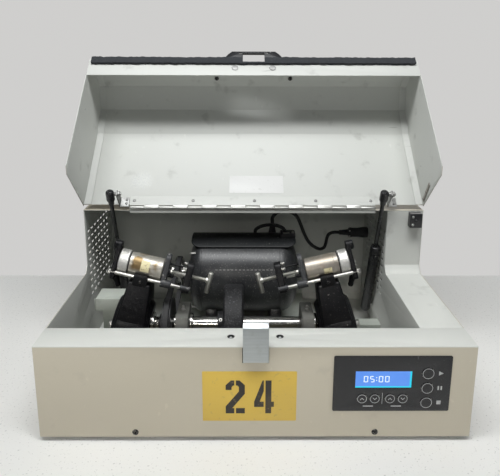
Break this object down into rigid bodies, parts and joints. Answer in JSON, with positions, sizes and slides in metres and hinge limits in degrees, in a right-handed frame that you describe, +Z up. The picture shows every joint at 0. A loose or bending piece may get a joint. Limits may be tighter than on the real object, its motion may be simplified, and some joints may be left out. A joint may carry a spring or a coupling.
{
  "type": "mixer mill",
  "caption": "Bench mixer mill with two tilted vial clamps on a shaking shaft, in a sheet-metal cabinet with a front-opening lid held up by gas struts.",
  "frame": {"origin": "middle of the footprint, on the surface that the feet stand on, with the lid open", "axes": "+X to the right along the front, +Y from the front to the back, +Z up"},
  "size_m": [0.66, 0.483, 0.5886],
  "materials": {
    "cream_paint": "fine textured powder coat, semi-matt",
    "grey_paint": "light grey-green paint, semi-matt",
    "rubber": "matt black rubber",
    "foam": "open cell foam, matt",
    "black_plastic": "smooth black",
    "black_enamel": "black enamel, half gloss",
    "black_aluminium": "black coated aluminium",
    "bright_steel": "ground steel",
    "zinc_steel": "zinc plated, brushed",
    "grey_casting": "grey painted casting",
    "cap_aluminium": "knurled aluminium"
  },
  "bodies": {
    "cabinet": {"floor_pan": "grey_paint", "rubber_mount_front_left": "rubber", "rubber_mount_front_right": "rubber", "rubber_mount_rear_left": "rubber", "rubber_mount_rear_right": "rubber", "front_panel": "cream_paint", "left_side_panel": "cream_paint", "right_side_panel": "cream_paint", "rear_cover": "cream_paint", "control_bay_cover": "grey_paint", "control_overlay": "black_plastic", "lid_switch": "black_plastic", "mains_inlet": "black_plastic", "hinge_leaf_base": "zinc_steel", "mechanism_frame": "grey_paint", "bearing_block_left": "grey_casting", "bearing_block_right": "grey_casting", "v_belt": "rubber", "motor_body": "black_enamel", "capacitor_box": "black_enamel", "motor_lead": "rubber", "lead_connector": "rubber"},
    "lid": {"lid_wrap": "cream_paint", "lid_left_side": "cream_paint", "lid_right_side": "cream_paint", "foam_gasket": "foam", "lid_handle": "black_plastic", "hinge_leaf_lid": "zinc_steel", "strut_bracket_left": "bright_steel", "strut_bracket_right": "bright_steel", "interlock_actuator": "zinc_steel"},
    "latch": {"latch_lever": "zinc_steel"},
    "rocker": {"power_rocker": "black_plastic"},
    "drive_shaft": {"main_shaft": "bright_steel", "flywheel": "black_enamel", "drive_pulley": "black_enamel"},
    "rotor": {"motor_rotor": "zinc_steel"},
    "strut_cylinder_left": {"strut_cylinder_left": "black_enamel"},
    "strut_rod_left": {"strut_rod_left": "black_enamel"},
    "strut_cylinder_right": {"strut_cylinder_right": "black_enamel"},
    "strut_rod_right": {"strut_rod_right": "black_enamel"},
    "key_minutes_up": {"key_minutes_up": "black_plastic"},
    "key_minutes_down": {"key_minutes_down": "black_plastic"},
    "key_seconds_up": {"key_seconds_up": "black_plastic"},
    "key_seconds_down": {"key_seconds_down": "black_plastic"},
    "key_start": {"key_start": "black_plastic"},
    "key_pause": {"key_pause": "black_plastic"},
    "key_stop": {"key_stop": "black_plastic"},
    "clamp_left": {"clamp_arm_left": "black_aluminium", "clamp_yoke_left": "black_aluminium", "vial_left": "bright_steel", "vial_cap_left": "cap_aluminium"},
    "jaw_left": {"clamp_jaw_left": "black_aluminium"},
    "screw_left": {"clamp_screw_left": "bright_steel"},
    "clamp_right": {"clamp_arm_right": "black_aluminium", "clamp_yoke_right": "black_aluminium", "vial_right": "bright_steel", "vial_cap_right": "cap_aluminium"},
    "jaw_right": {"clamp_jaw_right": "black_aluminium"},
    "screw_right": {"clamp_screw_right": "bright_steel"}
  },
  "joints": [
    {"name": "lid_hinge", "type": "hinge", "parent": "cabinet", "child": "lid", "pos_m": [0, 0.04385, 0.2918], "axis": [1, 0, 0], "range_deg": [0, 135]},
    {"name": "latch_swing", "type": "hinge", "parent": "cabinet", "child": "latch", "pos_m": [0, -0.22455, 0.148], "axis": [1, 0, 0], "range_deg": [0, 10], "stiffness_Nm_per_rad": 0.6, "springref_deg": -5.73},
    {"name": "rocker_tilt", "type": "hinge", "parent": "cabinet", "child": "rocker", "pos_m": [0.295, 0.23375, 0.108], "axis": [1, 0, 0], "range_deg": [0, 14]},
    {"name": "drive_shaft_turn", "type": "hinge", "parent": "cabinet", "child": "drive_shaft", "pos_m": [0, -0.07805, 0.113], "axis": [1, 0, 0], "continuous": true},
    {"name": "motor_turn", "type": "hinge", "parent": "cabinet", "child": "rotor", "pos_m": [-0.152, 0.08545, 0.141], "axis": [1, 0, 0], "continuous": true},
    {"name": "strut_swing_left", "type": "hinge", "parent": "cabinet", "child": "strut_cylinder_left", "pos_m": [-0.272, 0.12445, 0.046], "axis": [1, 0, 0], "range_deg": [0, 3.79]},
    {"name": "strut_stroke_left", "type": "slide", "parent": "strut_cylinder_left", "child": "strut_rod_left", "axis": [0, -0.3348, 0.9423], "range_m": [-0.06661, 0]},
    {"name": "strut_swing_right", "type": "hinge", "parent": "cabinet", "child": "strut_cylinder_right", "pos_m": [0.247, 0.12445, 0.046], "axis": [1, 0, 0], "range_deg": [0, 3.79]},
    {"name": "strut_stroke_right", "type": "slide", "parent": "strut_cylinder_right", "child": "strut_rod_right", "axis": [0, -0.3348, 0.9423], "range_m": [-0.06661, 0]},
    {"name": "key_minutes_up_press", "type": "slide", "parent": "cabinet", "child": "key_minutes_up", "axis": [0, 1, 0], "range_m": [0, 0.0005], "stiffness_N_per_m": 600},
    {"name": "key_minutes_down_press", "type": "slide", "parent": "cabinet", "child": "key_minutes_down", "axis": [0, 1, 0], "range_m": [0, 0.0005], "stiffness_N_per_m": 600},
    {"name": "key_seconds_up_press", "type": "slide", "parent": "cabinet", "child": "key_seconds_up", "axis": [0, 1, 0], "range_m": [0, 0.0005], "stiffness_N_per_m": 600},
    {"name": "key_seconds_down_press", "type": "slide", "parent": "cabinet", "child": "key_seconds_down", "axis": [0, 1, 0], "range_m": [0, 0.0005], "stiffness_N_per_m": 600},
    {"name": "key_start_press", "type": "slide", "parent": "cabinet", "child": "key_start", "axis": [0, 1, 0], "range_m": [0, 0.0005], "stiffness_N_per_m": 600},
    {"name": "key_pause_press", "type": "slide", "parent": "cabinet", "child": "key_pause", "axis": [0, 1, 0], "range_m": [0, 0.0005], "stiffness_N_per_m": 600},
    {"name": "key_stop_press", "type": "slide", "parent": "cabinet", "child": "key_stop", "axis": [0, 1, 0], "range_m": [0, 0.0005], "stiffness_N_per_m": 600},
    {"name": "clamp_turn_left", "type": "hinge", "parent": "drive_shaft", "child": "clamp_left", "pos_m": [-0.224, -0.07805, 0.113], "axis": [0.9703, 0, -0.2419], "continuous": true},
    {"name": "jaw_slide_left", "type": "slide", "parent": "clamp_left", "child": "jaw_left", "axis": [0.9703, 0, -0.2419], "range_m": [0, 0.012]},
    {"name": "screw_turn_left", "type": "hinge", "parent": "jaw_left", "child": "screw_left", "pos_m": [-0.19618, -0.07805, 0.22458], "axis": [0.9703, 0, -0.2419], "range_deg": [0, 2160]},
    {"name": "clamp_turn_right", "type": "hinge", "parent": "drive_shaft", "child": "clamp_right", "pos_m": [0.154, -0.07805, 0.113], "axis": [0.9703, 0, 0.2419], "continuous": true},
    {"name": "jaw_slide_right", "type": "slide", "parent": "clamp_right", "child": "jaw_right", "axis": [-0.9703, 0, -0.2419], "range_m": [0, 0.012]},
    {"name": "screw_turn_right", "type": "hinge", "parent": "jaw_right", "child": "screw_right", "pos_m": [0.12618, -0.07805, 0.22458], "axis": [-0.9703, 0, -0.2419], "range_deg": [0, 2160]}
  ],
  "couplings": [
    {"joint": "motor_turn", "follows": "drive_shaft_turn", "ratio": 1.5517},
    {"joint": "strut_swing_left", "follows": "lid_hinge", "ratio": 0.027969},
    {"joint": "strut_stroke_left", "follows": "lid_hinge", "m_per_rad": -0.028229},
    {"joint": "strut_swing_right", "follows": "lid_hinge", "ratio": 0.027969},
    {"joint": "strut_stroke_right", "follows": "lid_hinge", "m_per_rad": -0.028229},
    {"joint": "clamp_turn_left", "follows": "drive_shaft_turn", "ratio": -1},
    {"joint": "screw_turn_left", "follows": "jaw_slide_left", "rad_per_m": 3141.6},
    {"joint": "clamp_turn_right", "follows": "drive_shaft_turn", "ratio": -1},
    {"joint": "screw_turn_right", "follows": "jaw_slide_right", "rad_per_m": 3141.6}
  ]
}
